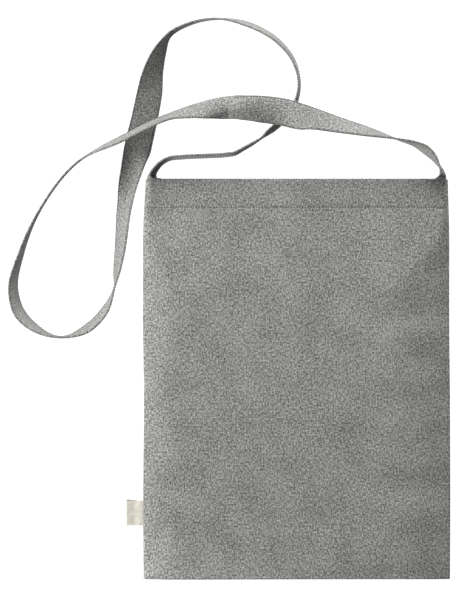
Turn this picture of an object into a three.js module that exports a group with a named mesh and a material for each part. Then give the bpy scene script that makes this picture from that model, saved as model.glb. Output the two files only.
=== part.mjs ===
// A flat cotton shopping bag lying on its back: two sewn panels with turned hems at the mouth,
// one long shoulder strap whose ends are folded into the mouth corners, and a folded side tag.
// Millimetres. +X to the right, +Y from the bottom seam towards the mouth, +Z up from the surface.
import * as THREE from "three";

// Driving dimensions
const BAG_WIDTH = 320;
const BAG_HEIGHT = 420;
const CLOTH = 1;
const HEM_DEPTH = 30;
const BOTTOM_CROWN = 6;
const MOUTH_CROWN = 14;
const STRAP_WIDTH = 29;
const STRAP_THICKNESS = 1.8;
const LABEL_LENGTH = 17.8;
const LABEL_WIDTH = 23.5;
const LABEL_THICKNESS = 1.2;
const LABEL_HEIGHT = 70;
const PIECE_GAP = 0.3;

// Places worked out from the driving dimensions
const HALF_WIDTH = BAG_WIDTH / 2;
const MOUTH = BAG_HEIGHT / 2;
const BOTTOM = -BAG_HEIGHT / 2;
const HEM_LINE = MOUTH - HEM_DEPTH;
const CROWN_CLIMB = { from: BOTTOM + 20, to: MOUTH - 70 };
const SEAM_HALF_GAP = PIECE_GAP / 2;

// The side seams lie low along the bag and are held up at the mouth by the folded strap ends.
const STRAP_CREASE = 5;
const STRAP_TUCK = HEM_DEPTH + 4;
const FOLDED_STRAP = (2 * STRAP_CREASE) / Math.PI + STRAP_THICKNESS;
const LOW_SEAM = 2 * CLOTH + SEAM_HALF_GAP;
const HIGH_SEAM = FOLDED_STRAP / 2 + 2 * CLOTH + 3 * PIECE_GAP;
const SEAM_CLIMB = { from: BOTTOM + 0.7 * BAG_HEIGHT, to: MOUTH - STRAP_TUCK - 5 };
const CORNER_CROWN = HIGH_SEAM + FOLDED_STRAP / 2 + 2 * CLOTH + 2 * PIECE_GAP;
const CORNER_REACH = 45;

// How far in from a seam each panel takes to level out, and where its turned hem becomes full
const FRONT_SHOULDER = 45;
const BACK_SHOULDER = 8;
const CORNER_SHOULDER = 6;
const HEM_TAPER = { from: 1, to: 6 };

// Half widths of the bag along its height, left and right of the middle line
const SIDE_ROWS = [
  { run: BOTTOM, left: HALF_WIDTH - 1, right: HALF_WIDTH - 0.5 },
  { run: -100, left: HALF_WIDTH, right: HALF_WIDTH + 1.2 },
  { run: 50, left: HALF_WIDTH + 1, right: HALF_WIDTH + 0.2 },
  { run: 140, left: HALF_WIDTH + 1, right: HALF_WIDTH + 0.5 },
  { run: MOUTH, left: HALF_WIDTH - 1.5, right: HALF_WIDTH - 1.5 },
];

// Soft folds of the front panel: middle, direction in degrees, half length, half width and rise
const FOLD_ROWS = [
  { x: -94, y: 123, turn: -45, long: 50, wide: 15, rise: 1.3 },
  { x: -70, y: 143, turn: -43, long: 38, wide: 12, rise: -0.9 },
  { x: -89, y: 90, turn: -38, long: 48, wide: 13, rise: -0.9 },
  { x: -75, y: 0, turn: -48, long: 42, wide: 16, rise: 0.8 },
  { x: -82, y: -45, turn: -30, long: 45, wide: 20, rise: -0.7 },
  { x: -112, y: -118, turn: -60, long: 40, wide: 20, rise: -0.7 },
  { x: 100, y: 162, turn: 30, long: 30, wide: 16, rise: 0.8 },
  { x: 92, y: 82, turn: 55, long: 45, wide: 18, rise: 0.7 },
  { x: 72, y: 40, turn: 40, long: 40, wide: 18, rise: -0.7 },
  { x: 55, y: -92, turn: 70, long: 55, wide: 22, rise: -0.7 },
];

// Small puckers that the sewing draws in beside the seams
const PUCKER_RISE = 0.7;
const SIDE_PUCKER_SPACING = 46;
const BOTTOM_PUCKER_SPACING = 40;
const PUCKER_REACH = 16;

// The strap from the right mouth corner to the left one. roll is the turn about its own run: at 90
// it stands on edge with the outer face to the right of travel, at 0 it lies with that face up.
// fold bends it along its middle over the width of crease, or over its whole width where none is
// given, and lift is the height of its lowest edge above the surface.
const STRAP_INSET = 4.1;
const MOUTH_STRAP_X = HALF_WIDTH - STRAP_INSET;
const TUCK_LIFT = HIGH_SEAM - FOLDED_STRAP / 2;
const STRAP_ROWS = [
  { x: MOUTH_STRAP_X, y: MOUTH - STRAP_TUCK, roll: 90, fold: 180, crease: STRAP_CREASE, lift: TUCK_LIFT },
  { x: MOUTH_STRAP_X, y: MOUTH, roll: 90, fold: 180, crease: STRAP_CREASE, lift: TUCK_LIFT },
  { x: MOUTH_STRAP_X, y: MOUTH + 3, roll: 90, fold: 180, crease: STRAP_CREASE, lift: TUCK_LIFT },
  { x: 154.5, y: 219, roll: 92, fold: 80, crease: STRAP_CREASE, lift: 1 },
  { x: 149, y: 225, roll: 95, fold: 12, crease: STRAP_CREASE, lift: 0 },
  { x: 135, y: 238, roll: 102, fold: 0, lift: 0 },
  { x: 104, y: 251.5, roll: 90, fold: 0, lift: 0 },
  { x: 72, y: 259, roll: 69, fold: 0, lift: 4 },
  { x: 43, y: 265, roll: 55, fold: 0, lift: 11 },
  { x: 17, y: 271, roll: 38, fold: 0, lift: 24 },
  { x: 1, y: 274, roll: 22, fold: 0, lift: 30.5 },
  { x: -15, y: 278, roll: 12, fold: 0, lift: 30.5 },
  { x: -37, y: 281, roll: 0, fold: 20, lift: 29 },
  { x: -60, y: 281.5, roll: -15, fold: 100, lift: 21 },
  { x: -86, y: 286, roll: 42, fold: 90, lift: 13 },
  { x: -112, y: 279, roll: 62, fold: 30, lift: 8 },
  { x: -138, y: 272, roll: 77, fold: 0, lift: 6.5 },
  { x: -183, y: 251.5, roll: 77, fold: 0, lift: 7.5 },
  { x: -227, y: 227, roll: 89, fold: 0, lift: 0 },
  { x: -264.5, y: 183, roll: 90, fold: 0, lift: 0 },
  { x: -287.5, y: 131.5, roll: 98, fold: 0, lift: 0 },
  { x: -296, y: 93, roll: 107, fold: 0, lift: 0 },
  { x: -289.5, y: 69, roll: 111, fold: 0, lift: 0 },
  { x: -277, y: 56, roll: 106, fold: 0, lift: 0 },
  { x: -248, y: 44, roll: 91, fold: 0, lift: 0 },
  { x: -217, y: 55, roll: 107, fold: 0, lift: 0 },
  { x: -202.5, y: 69.5, roll: 106, fold: 0, lift: 0 },
  { x: -190, y: 94.5, roll: 91, fold: 0, lift: 0 },
  { x: -185.5, y: 130, roll: 109, fold: 0, lift: 0 },
  { x: -179.5, y: 182, roll: 122, fold: 0, lift: 0 },
  { x: -175.5, y: 209, roll: 135, fold: 0, lift: 0 },
  { x: -171, y: 229, roll: 155, fold: 0, lift: 0 },
  { x: -162, y: 268, roll: 177, fold: 0, lift: 0 },
  { x: -155, y: 297, roll: 199, fold: 0, lift: 0 },
  { x: -150, y: 323, roll: 226, fold: 0, lift: 0 },
  { x: -142.5, y: 343.5, roll: 245, fold: 0, lift: 0 },
  { x: -133, y: 359, roll: 263, fold: 0, lift: 0 },
  { x: -112, y: 371, roll: 268, fold: 0, lift: 0 },
  { x: -86, y: 376.5, roll: 271, fold: 0, lift: 0 },
  { x: -49, y: 370, roll: 281, fold: 0, lift: 0 },
  { x: -21.5, y: 355, roll: 280, fold: 0, lift: 0 },
  { x: -4, y: 334.5, roll: 277, fold: 0, lift: 0 },
  { x: 2.5, y: 309, roll: 274, fold: 0, lift: 0 },
  { x: -6, y: 280, roll: 277, fold: 0, lift: 0 },
  { x: -35, y: 254, roll: 272, fold: 0, lift: 0 },
  { x: -65, y: 236, roll: 276, fold: 0, lift: 0 },
  { x: -101, y: 232.5, roll: 277, fold: 0, lift: 0 },
  { x: -129, y: 231, roll: 275, fold: 0, lift: 0 },
  { x: -147.5, y: 224, roll: 277, fold: -12, crease: STRAP_CREASE, lift: 0 },
  { x: -154.5, y: 219, roll: 274, fold: -80, crease: STRAP_CREASE, lift: 1 },
  { x: -MOUTH_STRAP_X, y: MOUTH + 3, roll: 270, fold: -180, crease: STRAP_CREASE, lift: TUCK_LIFT },
  { x: -MOUTH_STRAP_X, y: MOUTH, roll: 270, fold: -180, crease: STRAP_CREASE, lift: TUCK_LIFT },
  { x: -MOUTH_STRAP_X, y: MOUTH - STRAP_TUCK, roll: 270, fold: -180, crease: STRAP_CREASE, lift: TUCK_LIFT },
];

// Grid steps
const EDGE_STEPS = [0, 1.5, 4, 8, 14, 24];
const HEM_STEPS = [0, 3, 8, 15, 22, HEM_DEPTH - CLOTH / 2, HEM_DEPTH + CLOTH / 2];
const PANEL_ROW = 20;
const FRONT_COLUMN = 18;
const BACK_COLUMN = 75;
const STRAP_CELL = 18;
const STRAP_CORNER_CELL = 3;
const LABEL_STEPS = [0, 0.3, 0.6, 0.85, 0.95, 1];
const LABEL_LANDS = 0.6;
const LABEL_ROUNDS = 0.85;
const TRAVEL_REACH = 0.5;

const CLOTH_COLOUR = 0x898987;
const STRAP_COLOUR = 0x8d8d8a;
const LABEL_COLOUR = 0xdcd9cb;
const CLOTH_ROUGHNESS = 0.95;
const LABEL_ROUGHNESS = 0.8;

const clamp = THREE.MathUtils.clamp;
const lerp = THREE.MathUtils.lerp;
const radians = THREE.MathUtils.degToRad;
const smoothStep = THREE.MathUtils.smoothstep;

// Slope of a column at every row. A held column never swings past its own rows.
function columnSlopes(rows, column, held) {
  const secants = rows.slice(1).map((row, index) => {
    const before = rows[index];
    return (row[column] - before[column]) / (row.run - before.run);
  });
  return rows.map((row, index) => {
    const before = secants[Math.max(index - 1, 0)];
    const after = secants[Math.min(index, secants.length - 1)];
    if (held) {
      return before * after > 0 ? (2 * before * after) / (before + after) : 0;
    }
    const stepIn = row.run - rows[Math.max(index - 1, 0)].run;
    const stepOut = rows[Math.min(index + 1, rows.length - 1)].run - row.run;
    return (before * stepOut + after * stepIn) / (stepIn + stepOut);
  });
}

// A smooth curve through one column of a table, as a function of the run.
function columnCurve(rows, column, held) {
  const slopes = columnSlopes(rows, column, held);
  return (run) => {
    const last = rows.length - 2;
    const found = rows.findIndex((row) => row.run > run) - 1;
    const index = clamp(found < 0 ? (run < rows[0].run ? 0 : last) : found, 0, last);
    const step = rows[index + 1].run - rows[index].run;
    const t = clamp((run - rows[index].run) / step, 0, 1);
    const start = rows[index][column] * (1 + 2 * t) * (1 - t) ** 2;
    const end = rows[index + 1][column] * t * t * (3 - 2 * t);
    const leave = slopes[index] * step * t * (1 - t) ** 2;
    const arrive = slopes[index + 1] * step * t * t * (t - 1);
    return start + end + leave + arrive;
  };
}

// A closed wall between two faces on one grid. upper and lower give the point at a column and row.
function wallGeometry(columns, rows, upper, lower) {
  const positions = [];
  for (const face of [upper, lower]) {
    for (let row = 0; row < rows; row += 1) {
      for (let column = 0; column < columns; column += 1) {
        positions.push(...face(column, row));
      }
    }
  }
  const indices = [];
  const top = (column, row) => row * columns + column;
  const under = (column, row) => columns * rows + row * columns + column;
  const quad = (a, b, c, d) => indices.push(a, b, c, a, c, d);
  const lastColumn = columns - 1;
  const lastRow = rows - 1;
  for (let row = 0; row < lastRow; row += 1) {
    for (let column = 0; column < lastColumn; column += 1) {
      quad(top(column, row), top(column + 1, row), top(column + 1, row + 1), top(column, row + 1));
      quad(under(column, row), under(column, row + 1), under(column + 1, row + 1), under(column + 1, row));
    }
    quad(under(0, row + 1), under(0, row), top(0, row), top(0, row + 1));
    quad(under(lastColumn, row), under(lastColumn, row + 1), top(lastColumn, row + 1), top(lastColumn, row));
  }
  for (let column = 0; column < lastColumn; column += 1) {
    quad(under(column, 0), under(column + 1, 0), top(column + 1, 0), top(column, 0));
    quad(under(column + 1, lastRow), under(column, lastRow), top(column, lastRow), top(column + 1, lastRow));
  }
  const geometry = new THREE.BufferGeometry();
  geometry.setAttribute("position", new THREE.Float32BufferAttribute(positions, 3));
  geometry.setIndex(indices);
  geometry.computeVertexNormals();
  return geometry;
}

function namedMesh(name, geometry, colour, roughness) {
  const material = new THREE.MeshStandardMaterial({ color: colour, roughness, metalness: 0 });
  const mesh = new THREE.Mesh(geometry, material);
  mesh.name = name;
  return mesh;
}

// The bag's outline and seams
const leftHalf = columnCurve(SIDE_ROWS, "left", true);
const rightHalf = columnCurve(SIDE_ROWS, "right", true);

function mouthShare(y) {
  return smoothStep(y, SEAM_CLIMB.from, SEAM_CLIMB.to);
}

function seamHeight(y) {
  return lerp(LOW_SEAM, HIGH_SEAM, mouthShare(y));
}

function sideDistance(x, y) {
  return Math.max(Math.min(x + leftHalf(y), rightHalf(y) - x), 0);
}

// 0 at a seam, 1 from the end of the shoulder on
function shoulderRise(distance, shoulder) {
  return 1 - (1 - clamp(distance / shoulder, 0, 1)) ** 2;
}

function foldRise(x, y) {
  return FOLD_ROWS.reduce((sum, fold) => {
    const along = (x - fold.x) * Math.cos(radians(fold.turn)) + (y - fold.y) * Math.sin(radians(fold.turn));
    const across = (y - fold.y) * Math.cos(radians(fold.turn)) - (x - fold.x) * Math.sin(radians(fold.turn));
    return sum + fold.rise * Math.exp(-((along / fold.long) ** 2) - (across / fold.wide) ** 2);
  }, 0);
}

function puckerRise(distance, run, spacing) {
  const swell = (distance / PUCKER_REACH) * Math.exp(1 - distance / PUCKER_REACH);
  return PUCKER_RISE * swell * Math.cos((2 * Math.PI * run) / spacing);
}

// The bag lies flat at the bottom and gapes a little towards the mouth.
function crownHeight(y) {
  return lerp(BOTTOM_CROWN, MOUTH_CROWN, smoothStep(y, CROWN_CLIMB.from, CROWN_CLIMB.to));
}

// Height of the front panel's outer face
function frontOuter(x, y) {
  const side = sideDistance(x, y);
  const bottom = y - BOTTOM;
  const cornerShare = mouthShare(y) * Math.exp(-((side / CORNER_REACH) ** 2));
  const ease = 1 - mouthShare(y);
  const puckers =
    puckerRise(side, y, SIDE_PUCKER_SPACING) * ease + puckerRise(bottom, x, BOTTOM_PUCKER_SPACING);
  const crown = lerp(crownHeight(y), CORNER_CROWN, cornerShare) + puckers + foldRise(x, y);
  const shoulder = lerp(FRONT_SHOULDER, CORNER_SHOULDER, mouthShare(y));
  const rise = shoulderRise(side, shoulder) * shoulderRise(bottom, FRONT_SHOULDER);
  return lerp(seamHeight(y) + SEAM_HALF_GAP + CLOTH, crown, rise);
}

// Height of the back panel's outer face: on the surface, turned up to the seams at its edges
function backOuter(x, y) {
  const shoulder = lerp(BACK_SHOULDER, CORNER_SHOULDER, mouthShare(y));
  const rise = shoulderRise(sideDistance(x, y), shoulder) * shoulderRise(y - BOTTOM, BACK_SHOULDER);
  return (seamHeight(y) - SEAM_HALF_GAP - CLOTH) * (1 - rise);
}

// One layer of cloth, or two where the hem is turned in and clear of the seam
function wallThickness(x, y) {
  const hem = y > HEM_LINE ? smoothStep(sideDistance(x, y), HEM_TAPER.from, HEM_TAPER.to) : 0;
  return CLOTH * (1 + hem);
}

// Steps from one edge inward, even cells between, and the same steps out to the other edge
function spreadSteps(from, to, firstSteps, lastSteps, cell) {
  const first = firstSteps.map((step) => from + step);
  const last = lastSteps.map((step) => to - step).reverse();
  const start = first[first.length - 1];
  const span = last[0] - start;
  const count = Math.max(Math.round(span / cell), 1);
  const between = Array.from({ length: count - 1 }, (_, index) => start + (span * (index + 1)) / count);
  return [...first, ...between, ...last];
}

// A panel on its grid. direction is +1 where its outer face looks up and -1 where it looks down.
function panelGeometry(outer, direction, columnCell) {
  const heights = spreadSteps(BOTTOM, MOUTH, EDGE_STEPS, HEM_STEPS, PANEL_ROW);
  const shares = spreadSteps(-HALF_WIDTH, HALF_WIDTH, EDGE_STEPS, EDGE_STEPS, columnCell);
  const place = (column, row) => {
    const y = heights[row];
    const share = shares[column] / HALF_WIDTH;
    return [share * (share < 0 ? leftHalf(y) : rightHalf(y)), y];
  };
  const outerFace = (column, row) => {
    const [x, y] = place(column, row);
    return [x, y, outer(x, y)];
  };
  const innerFace = (column, row) => {
    const [x, y] = place(column, row);
    return [x, y, outer(x, y) - direction * wallThickness(x, y)];
  };
  const faces = direction > 0 ? [outerFace, innerFace] : [innerFace, outerFace];
  return wallGeometry(shares.length, heights.length, ...faces);
}

// The strap's table with the run along the plan added to each row
function measuredRows(rows) {
  let run = 0;
  return rows.map((row, index) => {
    const before = rows[Math.max(index - 1, 0)];
    run += Math.hypot(row.x - before.x, row.y - before.y);
    return { crease: STRAP_WIDTH, ...row, run };
  });
}

// Place of a point of the strap's section before rolling: across the width and off the middle face
function sectionPoint(across, offset, fold, crease) {
  const bend = fold / crease;
  const inCrease = clamp(across, -crease / 2, crease / 2);
  const past = across - inCrease;
  const angle = bend * inCrease;
  const flat = Math.abs(bend) < 1e-6;
  const wide = (flat ? inCrease : Math.sin(angle) / bend) + past * Math.cos(angle);
  const deep = (flat ? 0 : (Math.cos(angle) - 1) / bend) - past * Math.sin(angle);
  return { wide: wide + offset * Math.sin(angle), deep: deep + offset * Math.cos(angle) };
}

function strapGeometry() {
  const rows = measuredRows(STRAP_ROWS);
  const curves = {
    x: columnCurve(rows, "x", false),
    y: columnCurve(rows, "y", false),
    roll: columnCurve(rows, "roll", true),
    fold: columnCurve(rows, "fold", true),
    crease: columnCurve(rows, "crease", true),
    lift: columnCurve(rows, "lift", true),
  };
  const leftSteps = [STRAP_WIDTH / 2, STRAP_WIDTH / 4, STRAP_CREASE / 2, STRAP_CREASE / 4];
  const rightSteps = leftSteps.map((step) => -step).reverse();
  const acrossSteps = [...leftSteps, 0, ...rightSteps];
  const stations = rows.slice(1).flatMap((row, index) => {
    const before = rows[index];
    const opening = row.crease !== STRAP_WIDTH && row.fold !== before.fold;
    const steps = Math.ceil((row.run - before.run) / (opening ? STRAP_CORNER_CELL : STRAP_CELL));
    return Array.from({ length: steps }, (_, step) => lerp(before.run, row.run, step / steps));
  });
  stations.push(rows[rows.length - 1].run);
  const rings = stations.map((run) => {
    const travel = new THREE.Vector2(
      curves.x(run + TRAVEL_REACH) - curves.x(run - TRAVEL_REACH),
      curves.y(run + TRAVEL_REACH) - curves.y(run - TRAVEL_REACH),
    ).normalize();
    const roll = radians(curves.roll(run));
    const fold = radians(curves.fold(run));
    const crease = curves.crease(run);
    const left = (point) => point.wide * Math.cos(roll) - point.deep * Math.sin(roll);
    const up = (point) => point.wide * Math.sin(roll) + point.deep * Math.cos(roll);
    const faces = [STRAP_THICKNESS / 2, -STRAP_THICKNESS / 2].map((offset) =>
      acrossSteps.map((across) => sectionPoint(across, offset, fold, crease)),
    );
    const lowest = Math.min(...faces.flat().map(up));
    const height = curves.lift(run) - lowest;
    return faces.map((face) =>
      face.map((point) => [
        curves.x(run) - travel.y * left(point),
        curves.y(run) + travel.x * left(point),
        height + up(point),
      ]),
    );
  });
  const outerFace = (column, row) => rings[row][0][column];
  const innerFace = (column, row) => rings[row][1][column];
  return wallGeometry(acrossSteps.length, rings.length, outerFace, innerFace);
}

// The tag leaves the left seam, comes down to the surface and is rounded where it is folded.
function labelGeometry() {
  const middle = BOTTOM + LABEL_HEIGHT;
  const heights = [middle - LABEL_WIDTH / 2, middle + LABEL_WIDTH / 2];
  const start = -Math.max(...heights.map(leftHalf)) - PIECE_GAP;
  const outward = (column) => LABEL_STEPS[LABEL_STEPS.length - 1 - column];
  const place = (column, row) => [start - LABEL_LENGTH * outward(column), heights[row]];
  const seamEnd = LOW_SEAM - LABEL_THICKNESS / 2;
  const low = (column) => seamEnd * (1 - smoothStep(outward(column), 0, LABEL_LANDS));
  const inset = (column) => (LABEL_THICKNESS / 4) * smoothStep(outward(column), LABEL_ROUNDS, 1);
  const upper = (column, row) => [...place(column, row), low(column) + LABEL_THICKNESS - inset(column)];
  const lower = (column, row) => [...place(column, row), low(column) + inset(column)];
  return wallGeometry(LABEL_STEPS.length, heights.length, upper, lower);
}

const bag = new THREE.Group();
bag.name = "shopping_bag";
bag.add(namedMesh("front_panel", panelGeometry(frontOuter, 1, FRONT_COLUMN), CLOTH_COLOUR, CLOTH_ROUGHNESS));
bag.add(namedMesh("back_panel", panelGeometry(backOuter, -1, BACK_COLUMN), CLOTH_COLOUR, CLOTH_ROUGHNESS));
bag.add(namedMesh("strap", strapGeometry(), STRAP_COLOUR, CLOTH_ROUGHNESS));
bag.add(namedMesh("side_label", labelGeometry(), LABEL_COLOUR, LABEL_ROUGHNESS));

export default bag;
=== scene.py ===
# A flat cotton shopping bag lying on its back: two cloth panels with turned hems at the mouth,
# one long shoulder strap laid in loops, and a small folded tag in the left side seam.
# Lengths are worked out in millimetres and become metres when a mesh is made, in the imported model's
# frame: +X to the right, +Y from the bottom seam towards the mouth, +Z up from the surface.
import math
from collections import namedtuple

import bpy
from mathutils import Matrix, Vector, noise


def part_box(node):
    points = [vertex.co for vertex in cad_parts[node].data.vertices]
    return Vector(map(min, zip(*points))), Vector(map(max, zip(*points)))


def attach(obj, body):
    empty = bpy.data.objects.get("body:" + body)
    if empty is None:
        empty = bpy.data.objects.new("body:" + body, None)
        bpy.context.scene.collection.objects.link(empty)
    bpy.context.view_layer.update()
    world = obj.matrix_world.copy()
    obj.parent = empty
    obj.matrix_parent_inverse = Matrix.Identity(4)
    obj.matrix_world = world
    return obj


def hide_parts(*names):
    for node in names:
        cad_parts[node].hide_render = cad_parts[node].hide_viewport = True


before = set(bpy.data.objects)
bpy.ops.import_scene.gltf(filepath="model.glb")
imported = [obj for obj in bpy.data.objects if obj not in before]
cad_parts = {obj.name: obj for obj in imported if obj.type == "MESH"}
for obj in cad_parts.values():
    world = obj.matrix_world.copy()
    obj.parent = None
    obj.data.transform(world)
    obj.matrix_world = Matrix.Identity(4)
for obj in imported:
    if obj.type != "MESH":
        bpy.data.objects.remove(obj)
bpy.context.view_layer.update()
scene = bpy.context.scene
MM = 0.001

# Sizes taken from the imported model. The bag is 16 wide to 21 high.
front_low, front_high = (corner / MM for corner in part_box("front_panel"))
label_low, label_high = (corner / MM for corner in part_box("side_label"))
MOUTH = front_high.y
BOTTOM = front_low.y
BAG_HEIGHT = MOUTH - BOTTOM
HALF_WIDTH = BAG_HEIGHT * 8 / 21

# Cloth and sewing
CLOTH = 0.8
SEAM_HALF_GAP = 0.05
SEAM_ROLL = 2
CORNER_ROUND = 1.5
HEM_DEPTH = 30
HEM_FOLD = 0.9
HEM_ALLOWANCE = 2.5
HEM_INSET = 4
HEM_RISE = 0.25
HEM_LINE = MOUTH - HEM_DEPTH
HEM_STITCH_MARGIN = 2
STITCH_PITCH = 3
HEM_STITCH = 1.5
STRAP_STITCH = 2.3
SHORTEST_STITCH = 0.8
LONGEST_STITCH = 1.15
STITCH_SEED = 3
THREAD_WIDTH = 1.1
STITCH_GROOVE = THREAD_WIDTH / 2
STITCH_GROOVE_WIDTH = 1.1

# The strap, whose ends are folded in half round the side seams and tucked into the mouth
STRAP_WIDTH = 29
STRAP_THICKNESS = 1.8
STRAP_EDGE_ROUND = 0.4
STRAP_STITCH_INSET = 1.2
STRAP_GROOVE = 0.3
STRAP_GROOVE_WIDTH = 0.7
THREAD_PROUD = THREAD_WIDTH / 2 - STRAP_GROOVE
STRAP_CREASE = 5
STRAP_TUCK = HEM_DEPTH + 4
FOLDED_STRAP = 2 * STRAP_CREASE / math.pi + STRAP_THICKNESS

# How the panels lie: seams low along the bag, held up at the mouth by the folded strap ends
BOTTOM_CROWN = 9
MOUTH_CROWN = 15
CROWN_CLIMB_FROM = BOTTOM + 20
CROWN_CLIMB_TO = MOUTH - 70
LOW_SEAM = 2.15
BACK_HEM_ROOM = 2.9
FRONT_HEM_ROOM = 2.6
HIGH_SEAM = FOLDED_STRAP / 2 + BACK_HEM_ROOM
SEAM_CLIMB_FROM = BOTTOM + 0.7 * BAG_HEIGHT
SEAM_CLIMB_TO = MOUTH - STRAP_TUCK - 5
EDGE_LIFT = 1.15
CORNER_CROWN = HIGH_SEAM + FOLDED_STRAP / 2 + FRONT_HEM_ROOM
CORNER_REACH = 45
LEFT_SHOULDER = 36
RIGHT_SHOULDER = 60
BOTTOM_SHOULDER = 10
BOTTOM_SEAM_LIFT = 6
BOTTOM_LIFT_REACH = 45
BACK_SHOULDER = 8
BACK_BOTTOM_SHOULDER = 16
CORNER_SHOULDER = 6
SIDE_PUCKER = 0.7
BOTTOM_PUCKER = 0.2
PUCKER_REACH = 16
SIDE_PUCKER_SPACING = 46
BOTTOM_PUCKER_SPACING = 40

# Small uneven waves of the cloth: length and rise
WAVES = ((70, 0.5), (28, 0.22), (12, 0.05))

# Half widths of the bag along its height, left and right of the middle line
SideRow = namedtuple("SideRow", "run left right")
SIDE_ROWS = (
    SideRow(BOTTOM, HALF_WIDTH + 0.7, HALF_WIDTH + 0.9),
    SideRow(-130, HALF_WIDTH + 1.3, HALF_WIDTH + 1.2),
    SideRow(-25, HALF_WIDTH + 0.4, HALF_WIDTH + 0.9),
    SideRow(70, HALF_WIDTH + 1.5, HALF_WIDTH + 0.1),
    SideRow(140, HALF_WIDTH + 1.5, HALF_WIDTH + 0.1),
    SideRow(MOUTH, HALF_WIDTH - 1.5, HALF_WIDTH - 1.5),
)

# Soft folds of the front panel: middle, direction in degrees, half length, half width and rise
FoldRow = namedtuple("FoldRow", "x y turn long wide rise")
FOLD_ROWS = (
    FoldRow(-94, 123, -45, 50, 15, 1.3),
    FoldRow(-70, 143, -43, 38, 12, -0.9),
    FoldRow(-89, 90, -38, 48, 13, -0.9),
    FoldRow(-75, 0, -48, 42, 16, 0.8),
    FoldRow(-82, -45, -30, 45, 20, -0.7),
    FoldRow(-112, -118, -60, 40, 20, -0.7),
    FoldRow(-114, -172, 90, 50, 34, 2.2),
    FoldRow(100, 162, 30, 30, 16, 0.8),
    FoldRow(92, 82, 55, 45, 18, 0.7),
    FoldRow(72, 40, 40, 40, 18, -0.7),
    FoldRow(55, -92, 70, 55, 22, -0.7),
)

# Where the bottom seam itself lies higher or lower, with both panels
SEAM_FOLD_ROWS = (
    FoldRow(-118, -222, 0, 85, 25, 8.5),
    FoldRow(100, -222, 0, 70, 24, -2.5),
)

# The strap from the right mouth corner to the left one. roll is the turn about its own run: at 90
# it stands on edge with the outer face to the right of travel, at 0 it lies with that face up.
# fold bends it along its middle over the width of crease, or over its whole width where none is
# given, and lift is the height of its lowest edge above the surface.
MOUTH_STRAP_X = HALF_WIDTH - 4.1
TUCK_LIFT = HIGH_SEAM - FOLDED_STRAP / 2
StrapRow = namedtuple("StrapRow", "x y roll fold lift crease", defaults=(0, 0, STRAP_WIDTH))
STRAP_ROWS = (
    StrapRow(MOUTH_STRAP_X, MOUTH - STRAP_TUCK, 90, 180, TUCK_LIFT, STRAP_CREASE),
    StrapRow(MOUTH_STRAP_X, MOUTH - 0.6, 90, 180, TUCK_LIFT, STRAP_CREASE),
    StrapRow(155.6, 211.8, 90, 100, 1.8, STRAP_CREASE),
    StrapRow(155, 214.8, 88, 58, 1, STRAP_CREASE),
    StrapRow(152.8, 219.5, 88, 26, 0, STRAP_CREASE),
    StrapRow(149.7, 223.4, 90, 4, 0, STRAP_CREASE),
    StrapRow(142.9, 233, 100),
    StrapRow(135, 240.4, 104),
    StrapRow(124.8, 246, 98),
    StrapRow(107, 251.1, 90),
    StrapRow(72, 259.7, 69, 0, 4),
    StrapRow(43, 266.2, 55, 0, 11),
    StrapRow(17, 272.2, 38, 0, 24),
    StrapRow(1, 275.4, 13, 40, 30),
    StrapRow(-15, 279.3, 2, 40, 30.5),
    StrapRow(-37, 281.8, -5, 60, 30),
    StrapRow(-48, 282.3, -11, 88, 29),
    StrapRow(-60, 282.9, -12, 110, 27.5),
    StrapRow(-73, 284.5, 4, 130, 24.5),
    StrapRow(-86, 286.3, 29, 125, 20.5),
    StrapRow(-99, 284.6, 48, 85, 16.5),
    StrapRow(-112, 281.4, 62, 40, 13),
    StrapRow(-138, 273.2, 77, 0, 9),
    StrapRow(-183, 251.7, 77, 0, 9),
    StrapRow(-229.3, 227.6, 89),
    StrapRow(-265.8, 183, 90),
    StrapRow(-289, 131.5, 98),
    StrapRow(-297.2, 93, 107),
    StrapRow(-290.4, 69, 111),
    StrapRow(-277.8, 56, 106),
    StrapRow(-248, 44, 91),
    StrapRow(-217, 55, 107),
    StrapRow(-203, 69.5, 106),
    StrapRow(-191.2, 95.5, 92),
    StrapRow(-188.6, 112, 103),
    StrapRow(-185.9, 130, 110),
    StrapRow(-178.4, 182.6, 123, 40),
    StrapRow(-174.7, 198.3, 135, 90),
    StrapRow(-171.7, 214, 152, 115),
    StrapRow(-169.2, 229.8, 166, 90),
    StrapRow(-166.4, 245.5, 185, 25),
    StrapRow(-160.9, 268, 197),
    StrapRow(-154.9, 297, 204),
    StrapRow(-150.5, 323, 226),
    StrapRow(-143.3, 344.3, 245),
    StrapRow(-134, 360.3, 263),
    StrapRow(-112, 372.4, 268),
    StrapRow(-86, 377.4, 271),
    StrapRow(-49, 370.8, 281),
    StrapRow(-21.5, 355.4, 280),
    StrapRow(-4, 334.7, 277),
    StrapRow(2.5, 309.2, 274),
    StrapRow(-6, 280.4, 277),
    StrapRow(-24, 263, 279),
    StrapRow(-31, 257.7, 276),
    StrapRow(-37, 252.7, 270.5),
    StrapRow(-48, 245.8, 273),
    StrapRow(-58, 240.2, 274),
    StrapRow(-65, 236.4, 275),
    StrapRow(-74, 235, 275),
    StrapRow(-97, 233.7, 275),
    StrapRow(-120, 232.5, 275),
    StrapRow(-134, 230.8, 275),
    StrapRow(-141, 227.2, 276),
    StrapRow(-147.3, 221.9, 278, -6, 0, STRAP_CREASE),
    StrapRow(-150.8, 218.2, 280, -14, 0, STRAP_CREASE),
    StrapRow(-153.5, 214.8, 288, -36, 0.3, STRAP_CREASE),
    StrapRow(-155.8, 211.9, 296, -92, 1, STRAP_CREASE),
    StrapRow(-MOUTH_STRAP_X, MOUTH - 0.4, 270, -180, TUCK_LIFT, STRAP_CREASE),
    StrapRow(-MOUTH_STRAP_X, MOUTH - STRAP_TUCK, 270, -180, TUCK_LIFT, STRAP_CREASE),
)

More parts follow.
